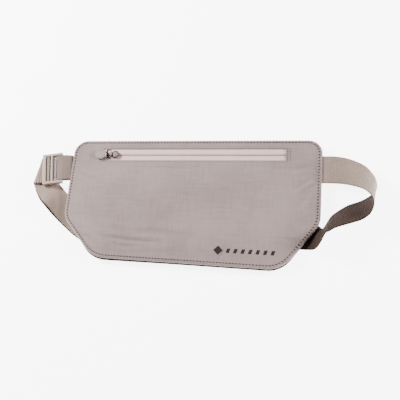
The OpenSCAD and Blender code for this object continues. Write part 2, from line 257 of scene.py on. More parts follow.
def knitElastic(name, colour, width, rib=0.0019, column=0.0022, sheen=0.2, gloss=0.5):
    mat, tree, shader = startMaterial(name, 0.88, sheen=sheen, gloss=gloss)
    vector, u, v = splitCoords(tree, "UV")[:3]
    zigzag = calc(tree, "PINGPONG", calc(tree, "DIVIDE", u, column), 0.5)
    phase = calc(tree, "ADD", calc(tree, "DIVIDE", v, rib), calc(tree, "MULTIPLY", zigzag, knit["zigzag"]))
    ribs = calc(tree, "SINE", calc(tree, "MULTIPLY", phase, 2 * math.pi))
    ribs = calc(tree, "MULTIPLY_ADD", ribs, 0.5, 0.5)
    grooves = calc(tree, "ABSOLUTE", calc(tree, "SINE", calc(tree, "MULTIPLY", u, math.pi / column)))
    grooves = calc(tree, "POWER", grooves, 0.4)
    edge = calc(tree, "ABSOLUTE", calc(tree, "SUBTRACT", u, width * mm / 2))
    edge = calc(tree, "GREATER_THAN", edge, (width / 2 - knit["selvedge"]) * mm)
    plainEdge = calc(tree, "SUBTRACT", 1.0, calc(tree, "MULTIPLY", edge, 0.75))
    stitches = calc(tree, "MULTIPLY", calc(tree, "MULTIPLY", ribs, grooves), plainEdge)
    grain = speckle(tree, vector, knit["grainScale"], 2.0)
    soft = speckle(tree, vector, knit["patchScale"], 3.0)
    tone = calc(tree, "ADD", calc(tree, "MULTIPLY", stitches, 0.7), calc(tree, "MULTIPLY", grain, 0.6))
    tone = calc(tree, "ADD", tone, calc(tree, "MULTIPLY", soft, 0.4))
    colourFrom(tree, shader, tone, shade(colour, 0.55), shade(colour, 1.25), (0.35, 1.15))
    bumpFrom(tree, shader, stitches, 0.7, 0.0003)
    return mat


def mouldedPlastic(name, colour, roughness=0.42):
    mat, tree, shader = startMaterial(name, roughness)
    vector = splitCoords(tree, "Object")[0]
    grain = speckle(tree, vector, 2600.0, 2.0)
    soft = speckle(tree, vector, 60.0, 3.0)
    colourFrom(tree, shader, soft, shade(colour, 0.92), shade(colour, 1.05), (0.3, 0.75))
    bumpFrom(tree, shader, grain, 0.25, 0.00006)
    shader.inputs["IOR"].default_value = 1.48
    return mat


def threadLook(name, colour):
    mat, tree, shader = startMaterial(name, 0.7, sheen=0.05)
    x, y, z = splitCoords(tree, "Object")[1:]
    along = calc(tree, "ADD", calc(tree, "ADD", x, y), z)
    twist = calc(tree, "SINE", calc(tree, "MULTIPLY", along, 9000.0))
    twist = calc(tree, "MULTIPLY_ADD", twist, 0.5, 0.5)
    colourFrom(tree, shader, twist, shade(colour, 0.75), shade(colour, 1.15))
    bumpFrom(tree, shader, twist, 0.4, 0.00006)
    return mat


def metalLook(name, colour, roughness, coat=0.0):
    mat, tree, shader = startMaterial(name, roughness, metallic=1.0)
    vector = splitCoords(tree, "Object")[0]
    scratch = speckle(tree, vector, 1400.0, 3.0, (1.0, 0.15, 1.0))
    colourFrom(tree, shader, scratch, shade(colour, 0.85), shade(colour, 1.1), (0.3, 0.7))
    bumpFrom(tree, shader, scratch, 0.15, 0.00004)
    shader.inputs["Coat Weight"].default_value = coat
    return mat


looks = {
    "pouch": wovenCloth("pouch cloth", (0.215, 0.158, 0.148), 0.00055, patch=0.10),
    # a darker backing cloth, made near-black as painted shade for the shadow under the pouch's lower edge
    "back": wovenCloth("backing cloth in painted shade", (0.030, 0.022, 0.020), 0.0009, roughness=0.95, sheen=0.05),
    "lining": wovenCloth("coated lining", (0.14, 0.115, 0.108), 0.0006, roughness=0.6, sheen=0.05),
    "tape": wovenCloth("zip tape", (0.620, 0.420, 0.410), 0.0004, roughness=0.6, depth=0.00006, patch=0.03),
    "tabCloth": knitElastic("tab webbing", (0.195, 0.135, 0.115), 28.8, 0.0011, 0.0012),
    "belt": knitElastic("belt elastic", (0.232, 0.164, 0.131), 30.0),
    # the strap's inner face is near-black: painted shade standing in for the shadow inside the loop
    "beltInsidePaintedShade": knitElastic("inside of the elastic in painted shade", (0.034, 0.021, 0.016), 30.0, sheen=0.0, gloss=0.1),
    "thread": threadLook("dark thread", (0.008, 0.006, 0.005)),
    "paleThread": threadLook("matching thread", (0.165, 0.125, 0.115)),
    "ink": wovenCloth("ink", (0.022, 0.017, 0.014), 0.00055, roughness=0.8, depth=0.00003, sheen=0.0,
                      gloss=0.1),
    # the coil is near-black: painted shade, so the gap between the tapes reads as a shaded line
    "coil": mouldedPlastic("zip coil in painted shade", (0.06, 0.045, 0.043), 0.4),
    "stop": metalLook("pressed stop", (0.4, 0.39, 0.38), 0.35),
    "slider": mouldedPlastic("slider enamel", (0.21, 0.16, 0.135), 0.3),
    "ring": metalLook("slider rim in painted edge shade", (0.03, 0.026, 0.026), 0.35),
    # black for the wire itself, and also used as painted shade on the pull's hole
    "wire": metalLook("black wire and painted hole shade", (0.02, 0.019, 0.019), 0.16, coat=0.8),
    "pull": mouldedPlastic("pull rubber", (0.240, 0.188, 0.176), 0.5),
    "buckle": mouldedPlastic("buckle plastic", (0.350, 0.268, 0.232), 0.38),
    "plate": mouldedPlastic("release plate plastic", (0.280, 0.220, 0.205), 0.45),
}
print("materials made:", len(looks))


pouch = {
    "corners": [(133, topY, 15), (-133, topY, 15), (-134, -20, 26),
                (-97.5, -66.5, 30), (97.5, -66.5, 30), (134, -20, 26)],   # x, y, radius
    "step": 1.0,                       # size of the cloth's mesh cells
    "rollW": 1.7, "rollDrop": 1.6,     # how the cloth turns over at its edge
    "seamIn": 3.0, "seamDip": 0.14,     # edge topstitching pulls the cloth down
    "crown": 1.2, "crownReach": 24.0,  # the filled middle swells over this distance from the edge
    "crownTop": 44.0, "crownFade": 22.0,
    "beltRise": 0.4, "beltY": -40.0, "beltHalf": 21.0, "beltFade": 12.0,    # the belt that lies under it
    "creaseScale": 1.35, "wave": 0.30, "ripple": 0.10, "pucker": 0.12,
    "cloth": 0.45,
}
window = {"x0": -100.0, "x1": 96.0, "y0": 47.5, "y1": 60.4, "turn": 0.8, "drop": 0.28,
          "seamOut": 2.2, "seamDip": 0.07, "ridge": 0.10}

# creases as x0, y0, x1, y1, depth, width
creases = [
    (-95, -42, -22, -47, 0.55, 3.2), (-82, -49, -40, -52, 0.35, 2.2), (-60, -36, 10, -37, 0.30, 4.0),
    (36, -64, 40, -44, 0.45, 2.0), (18, -63, 16, -50, 0.25, 2.0),
    (132, 30, 104, 14, 0.55, 2.6), (132, 24, 112, -4, 0.50, 2.8), (132, 40, 98, 36, 0.35, 3.0),
    (102, 66, 118, 50, 0.45, 2.4), (-126, 34, -104, 22, 0.45, 3.0), (-128, 14, -108, -10, 0.35, 3.4),
    (-70, 40, 20, 38, 0.25, 3.0), (30, 10, 90, -12, 0.22, 7.0), (-90, 12, -30, -8, 0.22, 8.0),
    (-20, 30, 55, 27, 0.18, 5.0), (-118, -36, -96, -52, 0.35, 2.6), (96, -34, 118, -44, 0.30, 2.6),
]


def cornerArc(before, at, after, radius, inset, steps):
    before, at, after = (Vector(p) for p in (before, at, after))
    u = (before - at).normalized()
    v = (after - at).normalized()
    half = math.acos(max(-1, min(1, u.dot(v)))) / 2
    mid = (u + v).normalized()
    centre = at + mid * (radius / math.sin(half))
    start = math.atan2(-mid.y, -mid.x)
    span = math.pi / 2 - half
    angles = [start + span * k / steps for k in range(-steps, steps + 1)]
    r = radius - inset
    return [(centre.x + r * math.cos(a), centre.y + r * math.sin(a)) for a in angles]


def outlineLoop(corners, inset=0.0, steps=12):
    loop = []
    count = len(corners)
    for i in range(count):
        p, q, s = corners[i - 1], corners[i], corners[(i + 1) % count]
        loop += cornerArc(p[:2], q[:2], s[:2], q[2], inset, steps)
    return np.array(loop)


outline = outlineLoop(pouch["corners"])
rightHalf = outline[outline[:, 0] > 0]
rightHalf = rightHalf[np.argsort(rightHalf[:, 1])]


def halfWidth(y):
    return np.interp(y, rightHalf[:, 1], rightHalf[:, 0])


def edgeDistance(x, y):
    pts = np.stack([x.ravel(), y.ravel()], axis=1)
    best = np.full(len(pts), 1e9)
    for a, b in zip(outline, np.roll(outline, -1, axis=0)):
        d = b - a
        t = np.clip(((pts - a) @ d) / max(d @ d, 1e-12), 0, 1)
        best = np.minimum(best, np.hypot(*(pts - a - t[:, None] * d).T))
    return best.reshape(x.shape)


# the real cut isn't symmetric: its lower edge runs down towards the right
cut = {"from": 10, "depth": 76.5, "curve": 1.2, "rise": 1.0, "slant": 4.3, "half": 97.5}


def skewed(x, y):
    weight = np.clip((cut["from"] - y) / cut["depth"], 0, 1) ** cut["curve"]
    return x, y + (cut["rise"] - cut["slant"] * x / cut["half"]) * weight


def creaseHeight(x, y):
    z = np.zeros_like(x)
    for x0, y0, x1, y1, depth, width in creases:
        length = math.hypot(x1 - x0, y1 - y0)
        ux, uy = (x1 - x0) / length, (y1 - y0) / length
        t = ((x - x0) * ux + (y - y0) * uy) / length
        off = -(x - x0) * uy + (y - y0) * ux
        off = off + 1.3 * np.sin(t * 5 + x0)      # no crease is quite straight
        taper = np.clip(1 - (2 * t - 1) ** 2, 0, 1) ** 0.7 * (t > 0) * (t < 1)
        ridge = 0.75 * np.exp(-((off - 1.4 * width) / width) ** 2)
        z += depth * taper * (ridge - np.exp(-(off / width) ** 2))
    return z


# slow unevenness of the cloth, one value for each point
def softNoise(x, y, size, seed):
    flat = [noise.noise(Vector((a / size, b / size, seed))) for a, b in zip(x.ravel(), y.ravel())]
    return np.array(flat).reshape(x.shape)


# distance outside the zip window's opening, negative inside it
def outsideWindow(x, y):
    beside = np.maximum(window["x0"] - x, x - window["x1"])
    return np.maximum(beside, np.maximum(window["y0"] - y, y - window["y1"]))


# height of the front cloth's top at any place on the pouch
def faceHeight(x, y):
    x, y = np.asarray(x, float), np.asarray(y, float)
    s = pouch
    d = edgeDistance(x, y)
    below = smoothstep((s["crownTop"] - y) / s["crownFade"])
    z = faceZ + s["crown"] * (1 - np.exp(-(d / s["crownReach"]) ** 2)) * below
    overBelt = smoothstep((s["beltHalf"] - np.abs(y - s["beltY"])) / s["beltFade"]) * smoothstep(d / 14)
    z = z + s["beltRise"] * overBelt
    inside = smoothstep((d - 2) / 8)
    awayFromZip = smoothstep((np.maximum(window["y0"] - y, y - window["y1"]) - 1) / 8)
    calm = inside * np.where(y > 40, awayFromZip, 1)
    z = z + s["creaseScale"] * creaseHeight(x, y) * calm
    z = z + (s["wave"] * softNoise(x, y, 34, 1.5) + s["ripple"] * softNoise(x, y, 11, 4.2)) * calm
    z = z - s["seamDip"] * np.exp(-((d - s["seamIn"]) / 0.55) ** 2)
    z = z + s["pucker"] * softNoise(x, y, 7, 9.1) * np.exp(-((d - 2.6) / 2.2) ** 2)
    roll = np.clip(1 - d / s["rollW"], 0, 1)
    z = z - s["rollDrop"] * (1 - np.sqrt(np.clip(1 - roll ** 2, 0, 1)))
    out = outsideWindow(x, y)
    turn = np.clip(1 - np.maximum(out, 0) / window["turn"], 0, 1)
    z = z - window["drop"] * (1 - np.sqrt(np.clip(1 - turn ** 2, 0, 1)))
    z = z - window["seamDip"] * np.exp(-((out - window["seamOut"]) / 0.45) ** 2)
    z = z + window["ridge"] * np.exp(-((out - 1.1) / 0.6) ** 2)
    return z


# points on the front cloth, where the pouch's own skew puts them
def onFace(x, y, lift=0.0):
    z = faceHeight(x, y) + lift
    sx, sy = skewed(np.asarray(x, float), np.asarray(y, float))
    return np.stack([sx, sy, z], axis=-1)


# even marks from low to high, with the extra ones kept exactly
def fineMarks(low, high, step, extra):
    marks = list(np.arange(low, high + step / 2, step)) + [low, high]
    marks = [m for m in marks if low <= m <= high and all(abs(m - e) > 0.28 * step for e in extra)]
    return np.array(sorted(set(round(m, 4) for m in marks + list(extra))))


# rows and columns of cells that follow the outline, straight in the middle and fanned out at the sides
cells = {"half": 134.0, "fanFrom": 105, "fanWidth": 28.0,      # where the columns start to fan out
         "nearEdge": (0.0, 0.15, 0.4, 0.8, 1.3, 1.9, 2.4, 3.0, 3.6),
         "nearWindow": (0, 0.2, 0.45, 0.8, 1.3, 1.8, 2.2, 2.7)}


def pouchCells(step, inset=0.0, nearEdge=cells["nearEdge"], useWindow=True):
    low, high = rightHalf[0, 1] + inset, rightHalf[-1, 1] - inset
    reach, fan = cells["half"], cells["fanFrom"]
    rows = [low + e for e in nearEdge] + [high - e for e in nearEdge]
    columns = [reach - e for e in nearEdge] + [-reach + e for e in nearEdge]
    if useWindow:
        steps = cells["nearWindow"]
        rows += [window["y0"] - e for e in steps] + [window["y1"] + e for e in steps]
        columns += [window["x0"] - e for e in steps] + [window["x1"] + e for e in steps]
    rows += [y for y in rightHalf[:, 1] if low < y < high and min(y - low, high - y) > 0.02]
    ys = fineMarks(low, high, step, sorted(rows))
    us = fineMarks(-reach, reach, step, sorted(columns))
    half = halfWidth(ys) - inset
    inner = np.minimum(fan, half - cells["fanWidth"])
    grid = np.abs(us)[None, :]
    x = np.where(grid <= fan, grid * inner[:, None] / fan,
                 inner[:, None] + (grid - fan) / (reach - fan) * (half - inner)[:, None])
    x = x * np.sign(us)[None, :]
    y = np.repeat(ys[:, None], len(us), axis=1)
    return x, y, us, ys


def gridFaces(rows, columns, keep=None):
    faces = []
    for i in range(rows - 1):
        for j in range(columns - 1):
            if keep is None or keep(i, j):
                a = i * columns + j
                faces.append((a, a + 1, a + columns + 1, a + columns))
    return faces


# the grid's outer points in order, anticlockwise
def rimIndices(rows, columns):
    rim = list(range(columns))
    rim += [i * columns + columns - 1 for i in range(1, rows)]
    rim += [(rows - 1) * columns + j for j in range(columns - 2, -1, -1)]
    rim += [i * columns for i in range(rows - 2, 0, -1)]
    return rim


# adds rings of points below the sheet's rim, each as (inwards, up)
def addLip(points, faces, rim, profile):
    start = points[rim]
    flat = start[:, :2]
    tangent = np.roll(flat, -3, axis=0) - np.roll(flat, 3, axis=0)
    tangent /= np.maximum(np.linalg.norm(tangent, axis=1), 1e-9)[:, None]
    inward = np.stack([-tangent[:, 1], tangent[:, 0]], axis=1)
    previous = list(rim)
    count = len(rim)
    for inwards, up in profile:
        ring = start.copy()
        ring[:, :2] += inward * inwards
        ring[:, 2] += up
        first = len(points)
        points = np.vstack([points, ring])
        new = list(range(first, first + count))
        for k in range(count):
            n = (k + 1) % count
            faces.append((previous[n], previous[k], new[k], new[n]))
        previous = new
    return points, faces


frontLip = [(0.05, -0.35), (0.35, -0.7), (1.2, -0.85)]
backLip = [(0.0, 0.35), (0.3, 0.6), (1.3, 0.7)]


# the front cloth, with the zip's window cut out of it
def pouchFront():
    x, y, us, ys = pouchCells(pouch["step"])
    rows, columns = x.shape
    points = onFace(x, y).reshape(-1, 3)
    midU = (us[:-1] + us[1:]) / 2
    midY = (ys[:-1] + ys[1:]) / 2

    def keep(i, j):
        inX = window["x0"] < midU[j] < window["x1"]
        return not (inX and window["y0"] < midY[i] < window["y1"])
    faces = gridFaces(rows, columns, keep)
    points, faces = addLip(points, faces, rimIndices(rows, columns), frontLip)
    used = sorted({v for f in faces for v in f})
    renumber = {old: new for new, old in enumerate(used)}
    faces = [tuple(renumber[v] for v in f) for f in faces]
    piece = makePiece("pouch_front", points[used], faces, looks["pouch"])
    thicken(piece, pouch["cloth"])
    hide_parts("front_panel", "edge_fold")
    return piece


# how the back sheet turns up at its edge and shows below the front's lower edge, where its near-black colour
# is painted shade for the shadow under that edge
backEdge = {"rollW": 2.2, "rise": 1.2, "below": 1.0, "belowLeft": 0.4}


# a flat sheet of the pouch at one height, following the same outline
def pouchLayer(name, material, node, z, inset, step, cloth, lip=None, wave=0.2, top=None):
    x, y, us, ys = pouchCells(step, inset, (0.0, 0.3, 0.9, 1.8), False)
    if top is not None:
        y = np.where(y > top, top, y)
        keepRows = [i for i in range(len(ys)) if ys[i] <= top]
        keepRows.append(len(keepRows))
        x, y = x[keepRows], y[keepRows]
    rows, columns = x.shape
    d = edgeDistance(x, y) - inset
    height = z + wave * softNoise(x, y, 26, z) * smoothstep(d / 6)
    if lip:
        roll = np.clip(1 - d / backEdge["rollW"], 0, 1)
        height = height + backEdge["rise"] * (1 - np.sqrt(np.clip(1 - roll ** 2, 0, 1)))
    sx, sy = skewed(x, y)
    if lip:
        below = backEdge["below"] + backEdge["belowLeft"] * smoothstep(-sx / 80)
        sy = sy - below * smoothstep((-44 - y) / 20)
    points = np.stack([sx, sy, height], axis=-1).reshape(-1, 3)
    faces = gridFaces(rows, columns)
    if lip:
        points, faces = addLip(points, faces, rimIndices(rows, columns), lip)
    piece = makePiece(name, points, faces, looks[material])
    thicken(piece, cloth, 1.0)
    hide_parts(node)
    return piece


pouchFront()
pouchLayer("pouch_back", "back", "back_panel", 3.5, 0.0, 2.0, 0.5,
           lip=backLip)
pouchLayer("lining_back", "lining", "back_lining", 4.35, 7.2, 3.0, 0.15, wave=0.1)
pouchLayer("divider_sheet", "lining", "inner_divider", 5.0, 7.2, 3.0, 0.2, top=39.0)
pouchLayer("lining_front", "lining", "front_lining", 6.4, 7.2, 3.0, 0.15,
           wave=0.15, top=45.0)
print("pouch cloth made")


# each stitch is a short arched length of thread whose ends dive into the cloth
stitch = {"at": (0, 0.12, 0.35, 0.65, 0.88, 1.0), "rise": (-0.9, 0.0, 0.75, 0.75, 0.0, -0.9),
          "thickness": (0.55, 0.9, 1.0, 1.0, 0.9, 0.55), "sides": 6, "unevenness": 0.036}


def stitchRow(name, path, pitch, length, radius, material, slot, node=None, body="root", lift=0.1):
    path = np.asarray(path, float)
    legs = np.linalg.norm(np.diff(path, axis=0), axis=1)
    run = np.concatenate([[0], np.cumsum(legs)])
    count = int(run[-1] // pitch)
    points = []
    faces = []
    sides = stitch["sides"]
    last = len(stitch["at"]) - 1
    for n in range(count):
        start = (n + 0.2) * run[-1] / count + random.uniform(-1, 1) * stitch["unevenness"] * pitch
        at = start + np.array(stitch["at"]) * length
        centre = np.stack([np.interp(at, run, path[:, k]) for k in range(3)], axis=1)
        centre[:, 2] += np.array(stitch["rise"]) * radius + lift
        ahead = centre[-1] - centre[0]
        ahead /= np.linalg.norm(ahead)
        across = np.cross(ahead, (0, 0, 1))
        across /= np.linalg.norm(across)
        up = np.cross(across, ahead)
        base = len(points)
        for k in range(last + 1):
            r = radius * stitch["thickness"][k]
            for m in range(sides):
                a = 2 * math.pi * m / sides
                points.append(centre[k] + across * r * math.cos(a) + up * r * math.sin(a))
        for k in range(last):
            for m in range(sides):
                p = base + k * sides + m
                q = base + k * sides + (m + 1) % sides
                faces.append((p, p + sides, q + sides, q))
        faces.append(tuple(base + m for m in range(sides)))
        faces.append(tuple(base + last * sides + m for m in reversed(range(sides))))
    piece = makePiece(name, points, faces, looks[material], body)
    if node:
        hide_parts(node)
    return piece


# a line drawn on the front cloth, following its height
def facePath(points, step=0.8):
    points = np.asarray(points, float)
    legs = np.linalg.norm(np.diff(points, axis=0), axis=1)
    run = np.concatenate([[0], np.cumsum(legs)])
    at = np.arange(0, run[-1], step)
    x = np.interp(at, run, points[:, 0])
    y = np.interp(at, run, points[:, 1])
    return onFace(x, y)


edgeRow = {"pitch": 3.3, "length": 2.0, "radius": 0.5}
windowRow = {"pitch": 2.6, "length": 1.7, "radius": 0.2}
zipEndRow = {"pitch": 2.2, "length": 1.5, "radius": 0.22, "out": (1.6, 4.6), "over": 1.5}
anchorRow = {"pitch": 2.8, "length": 1.8, "radius": 0.2, "x": (125.5, 128.0), "y": (24.0, 52.0)}


def threadSize(row):
    return row["pitch"], row["length"], row["radius"]


edgeLoop = outlineLoop(pouch["corners"], pouch["seamIn"])
edgeLoop = np.vstack([edgeLoop, edgeLoop[:1]])
stitchRow("edge_stitches", facePath(edgeLoop), *threadSize(edgeRow), "thread", "thread", "edge_stitching")

seam = window["seamOut"]
windowRing = [(window["x1"] + seam, window["y0"] - seam), (window["x0"] - seam, window["y0"] - seam),
              (window["x0"] - seam, window["y1"] + seam), (window["x1"] + seam, window["y1"] + seam)]
stitchRow("window_stitches", facePath(windowRing), *threadSize(windowRow), "paleThread", "thread",
          "zip_window_stitching", lift=-0.02)
for number, out in enumerate(zipEndRow["out"]):
    x = window["x1"] + out
    row = [(x, window["y0"] - zipEndRow["over"]), (x, window["y1"] + zipEndRow["over"])]
    stitchRow(f"zip_end_stitches_{number + 1}", facePath(row), *threadSize(zipEndRow), "thread", "thread")
for number, x in enumerate(anchorRow["x"]):
    row = [(x, y) for y in anchorRow["y"]]
    stitchRow(f"belt_anchor_stitches_{number + 1}", facePath(row), *threadSize(anchorRow), "paleThread",
              "thread", "belt_anchor_stitching" if number == 0 else None, lift=0.03)
print("stitching made")


# printed mark: a turned square and a row of slanted bars
mark = {"y": -51.0, "squareX": 34.0, "square": 6.8, "barX": 44.0, "pitch": 7.5, "bars": 7,
        "barHalf": 2.2, "barW": 3.2, "slant": 1.4, "lift": 0.07, "ink": 0.04, "grid": 8}


# an even grid of points inside four corners
def fourCornerGrid(corners, cells):
    a, b, c, d = (np.array(p, float) for p in corners)
    grid = []
    for i in range(cells + 1):
        for j in range(cells + 1):
            s, t = i / cells, j / cells
            grid.append((1 - s) * ((1 - t) * a + t * b) + s * ((1 - t) * d + t * c))
    return np.array(grid)


def printedMark(s):
    r = s["square"] / math.sqrt(2)
    x, y, half = s["squareX"], s["y"], s["barHalf"]
    shapes = [[(x, y - r), (x + r, y), (x, y + r), (x - r, y)]]
    for k in range(s["bars"]):
        x = s["barX"] + s["pitch"] * k - half
        shapes.append([(x, y - half), (x + s["barW"], y - half),
                       (x + s["barW"] + s["slant"], y + half), (x + s["slant"], y + half)])
    points = []
    faces = []
    cells = s["grid"]
    for shape in shapes:
        flat = fourCornerGrid(shape, cells)
        base = len(points)
        points += list(onFace(flat[:, 0], flat[:, 1], s["lift"]))
        for f in gridFaces(cells + 1, cells + 1):
            faces.append(tuple(base + v for v in reversed(f)))
    piece = makePiece("printed_bars", points, faces, looks["ink"])
    thicken(piece, s["ink"])
    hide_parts("printed_mark")


printedMark(mark)
print("printed mark made")


zipSet = {"tapeTop": 7.55, "gapHalf": 0.32, "tapeW": 9.0, "tape": 0.3, "over": 5.0, "step": 1.0,
          "coilHalf": 0.45}      # the coils stand this far from the middle
tapeSewing = {"pitch": 1.6, "length": 1.25, "radius": 0.13, "in": 1.2}
zipY = (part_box("zip_coil_lower")[1][1] - pouchMid[1]) / mm + zipSet["coilHalf"]


def zipTape(side, node):
    s = zipSet
    gap = s["gapHalf"]
    profile = [(gap + 0.08, -0.62), (gap - 0.02, -0.3), (gap + 0.08, -0.08), (0.62, 0.02),
               (0.9, 0.0), (1.05, -0.06), (1.2, -0.12), (1.35, -0.06), (1.6, 0.0), (3.0, 0.02), (4.6, 0.0),
               (6.2, -0.05), (s["tapeW"], -0.12)]
    xs = np.arange(window["x0"] - s["over"], window["x1"] + s["over"] + 0.1, s["step"])
    points = []
    for x in xs:
        wobble = max(0.05 * noise.noise(Vector((x / 9, side * 3.0, 0.5))), 0.0)
        lift = 0.08 * noise.noise(Vector((x / 16, side * 5.0, 2.5)))
        for n, (out, up) in enumerate(profile):
            shift = wobble if n < 4 else 0.0       # only the edge beside the gap wanders
            points.append((x, zipY + side * (out + shift), s["tapeTop"] + up + lift * min(1.0, out / 2)))
    columns = len(profile)
    faces = gridFaces(len(xs), columns)
    if side > 0:
        faces = [tuple(reversed(f)) for f in faces]
    piece = makePiece("tape_upper" if side > 0 else "tape_lower", points, faces, looks["tape"])
    thicken(piece, s["tape"])
    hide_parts(node)
    sewing = [(x, zipY + side * tapeSewing["in"], s["tapeTop"] - 0.1) for x in xs]
    stitchRow("tape_sewing_upper" if side > 0 else "tape_sewing_lower", sewing, *threadSize(tapeSewing),
              "paleThread", "thread", lift=0.04)


zipTape(1, "zip_tape_upper")
zipTape(-1, "zip_tape_lower")
print("zip made")


belt = {"width": 30.0, "thick": 1.3, "layer": 1.65, "tailStations": 7, "steps": 8, "askew": 1.5,
        "rootInside": (132.2, 38, 5.9, 0, -1, 0),           # runs on a little into the pouch's side seam
        "stretchFrom": (-142, -3, 3), "stretchTo": (-164.4, 25.2, 3)}
buckle = {"x": -154.0, "y": 36.5, "z": 6.4, "turn": math.radians(8)}

# stations of the belt: middle, then the direction across it
beltRoute = [
    (-170, 32.5, 1.5, -0.28, -0.95, 0.05),
    (-165.5, 25.5, 2.2, -0.36, -0.92, 0.1), (-159, 15.5, 3.7, -0.36, -0.9, 0.2),
    (-151, 6, 5.6, -0.28, -0.9, 0.33), (-142, -3, 2.5, -0.2, -0.97, 0.1),
    (-132, -12, 0.75, -0.14, -0.99, 0), (-121, -21, 0.68, -0.1, -1, 0),
    (-108, -29, 0.65, -0.05, -1, 0), (-93, -35.5, 0.65, 0, -1, 0),
    (-75, -40, 0.65, 0, -1, 0), (-50, -42.5, 0.65, 0, -1, 0),
    (0, -43, 0.65, 0, -1, 0), (35, -41.5, 0.65, 0, -1, 0),
    (65, -38.5, 0.65, 0, -1, 0), (90, -34.5, 0.65, 0, -1, 0),
    (112, -31.5, 0.95, 0, -1, 0.02), (121, -32.3, 2.2, 0, -1, 0.09),
    (129, -33.5, 4.6, 0.03, -0.97, 0.25), (134.5, -33.2, 10.2, 0.08, -0.76, 0.62),
    (138.6, -30.5, 13.9, 0.12, -0.5, 0.86), (143.6, -22.6, 11.4, 0.04, -0.72, 0.69),
    (148.5, -18.4, 10.8, 0.06, -0.76, 0.65), (154.8, -14.5, 9.8, 0.09, -0.8, 0.59),
    (163, -10.5, 9, 0.14, -0.83, 0.53),
    (172.5, -7, 8.9, 0.15, -0.82, 0.53), (180, -2.5, 10.5, 0.15, -0.78, 0.6),
    (185, 3, 13.5, 0.05, -0.7, 0.7), (186.5, 9, 16, -0.08, -0.69, 0.7),
    (184.5, 15.5, 17, -0.14, -0.79, 0.6), (180, 21.5, 16.5, -0.13, -0.87, 0.47),
    (174, 27, 14.3, -0.13, -0.93, 0.33), (165.5, 31.5, 12, -0.1, -0.97, 0.2),
    (155.5, 35.5, 9, -0.03, -1, 0.07), (145, 37.5, 6.9, 0, -1, 0),
    (134.6, 38, 6, 0, -1, 0)]
turnRoute = [
    (-170.3, 32.9, 1.6, -0.28, -0.95, 0.05), (-172.2, 34.6, 3.5, -0.22, -0.97, 0.02),
    (-171.6, 34.8, 6, -0.18, -0.98, 0), (-169.3, 34.8, 7.7, -0.05, -1, 0), (-166.3, 34.8, 8, 0.1, -0.99, 0)]
tailTurnRoute = [
    (-169.95, 32.9, 3.3, -0.28, -0.95, 0.05), (-170.2, 34.6, 4.2, -0.22, -0.97, 0.02),
    (-169.8, 34.8, 5.3, -0.15, -0.98, 0), (-168.5, 34.8, 6.2, -0.02, -1, 0),
    (-166.3, 34.8, 6.35, 0.1, -0.99, 0)]
barRoute = [(-9.4, 1.6), (-7.2, 1.7), (-6.25, 2.4), (-5.6, 3.4), (-4.65, 3.8), (-3.7, 3.3),
            (-3.25, 1.9), (-3.7, 0.5), (-4.65, -0.05), (-6.4, -0.05), (-9.4, -0.05)]


# a smooth run of stations through the given ones
def smoothRoute(stations, steps):
    s = np.array(stations, float)
    out = []
    n = len(s)
    for i in range(n - 1):
        a, b, c, d = s[max(i - 1, 0)], s[i], s[i + 1], s[min(i + 2, n - 1)]
        for k in range(steps):
            t = k / steps
            bend = (2 * a - 5 * b + 4 * c - d) * t ** 2 + (3 * b - a - 3 * c + d) * t ** 3
            out.append(0.5 * (2 * b + (c - a) * t + bend))
    out.append(s[-1])
    return np.array(out)


def routeFrames(route):
    place = route[:, :3]
    across = route[:, 3:] / np.linalg.norm(route[:, 3:], axis=1)[:, None]
    ahead = np.empty_like(place)
    ahead[1:-1] = place[2:] - place[:-2]
    ahead[0] = place[1] - place[0]
    ahead[-1] = place[-1] - place[-2]
    ahead /= np.linalg.norm(ahead, axis=1)[:, None]
    face = np.cross(across, ahead)
    face /= np.linalg.norm(face, axis=1)[:, None]
    return place, across, ahead, face


# the same route, one layer further out
def lifted(route, amount):
    place, across, ahead, face = routeFrames(route)
    return np.hstack([place + face * amount, across])


def lengthAlong(place):
    return np.concatenate([[0], np.cumsum(np.linalg.norm(np.diff(place, axis=0), axis=1))])


# flat webbing swept along its stations, with rounded selvedges and a little unevenness
def strap(name, route, width, thick, material, body, seed=0.0, columns=22, inside=None):
    place, across, ahead, face = routeFrames(route)
    half = width / 2
    r = thick / 2
    section = [(-half + r * (1 - math.cos(a)), r * math.sin(a)) for a in (0.0, 0.6, 1.1)]
    for a in np.linspace(-half + r, half - r, columns):
        section.append((a, r * (0.93 + 0.07 * math.cos(4 * math.pi * a / width))))
    section += [(half - r * (1 - math.cos(a)), r * math.sin(a)) for a in (1.1, 0.6, 0.0)]
    ring = section + [(a, -h) for a, h in reversed(section[1:-1])]
    run = lengthAlong(place)
    points = []
    uvs = []
    for k in range(len(route)):
        for a, h in ring:
            wave = 0.10 * noise.noise(Vector((run[k] / 14, a / 12, seed)))
            points.append(place[k] + across[k] * a + face[k] * (h + wave))
            uvs.append(((a + half) * mm, run[k] * mm))
    size = len(ring)
    faces = []
    for k in range(len(route) - 1):
        for m in range(size):
            p, q = k * size + m, k * size + (m + 1) % size
            faces.append((p, q, q + size, p + size))
    faces.append(tuple(reversed(range(size))))
    faces.append(tuple(range((len(route) - 1) * size, len(route) * size)))
    piece = makePiece(name, points, faces, looks[material], body, uvs)
    # the second look paints the strap's whole inner face dark, as painted shade
    if inside:
        piece.data.materials.append(looks[inside])
        for polygon in piece.data.polygons:
            if polygon.index % size < len(section) - 1:
                polygon.material_index = 1
    return piece, run[-1]


def fromBuckle(x, z, y=0.0):
    c, s = math.cos(buckle["turn"]), math.sin(buckle["turn"])
    return (buckle["x"] + x * c - y * s, buckle["y"] + x * s + y * c, buckle["z"] + z)


acrossBuckle = (math.sin(buckle["turn"]), -math.cos(buckle["turn"]), 0.0)
width, thick = belt["width"], belt["thick"]

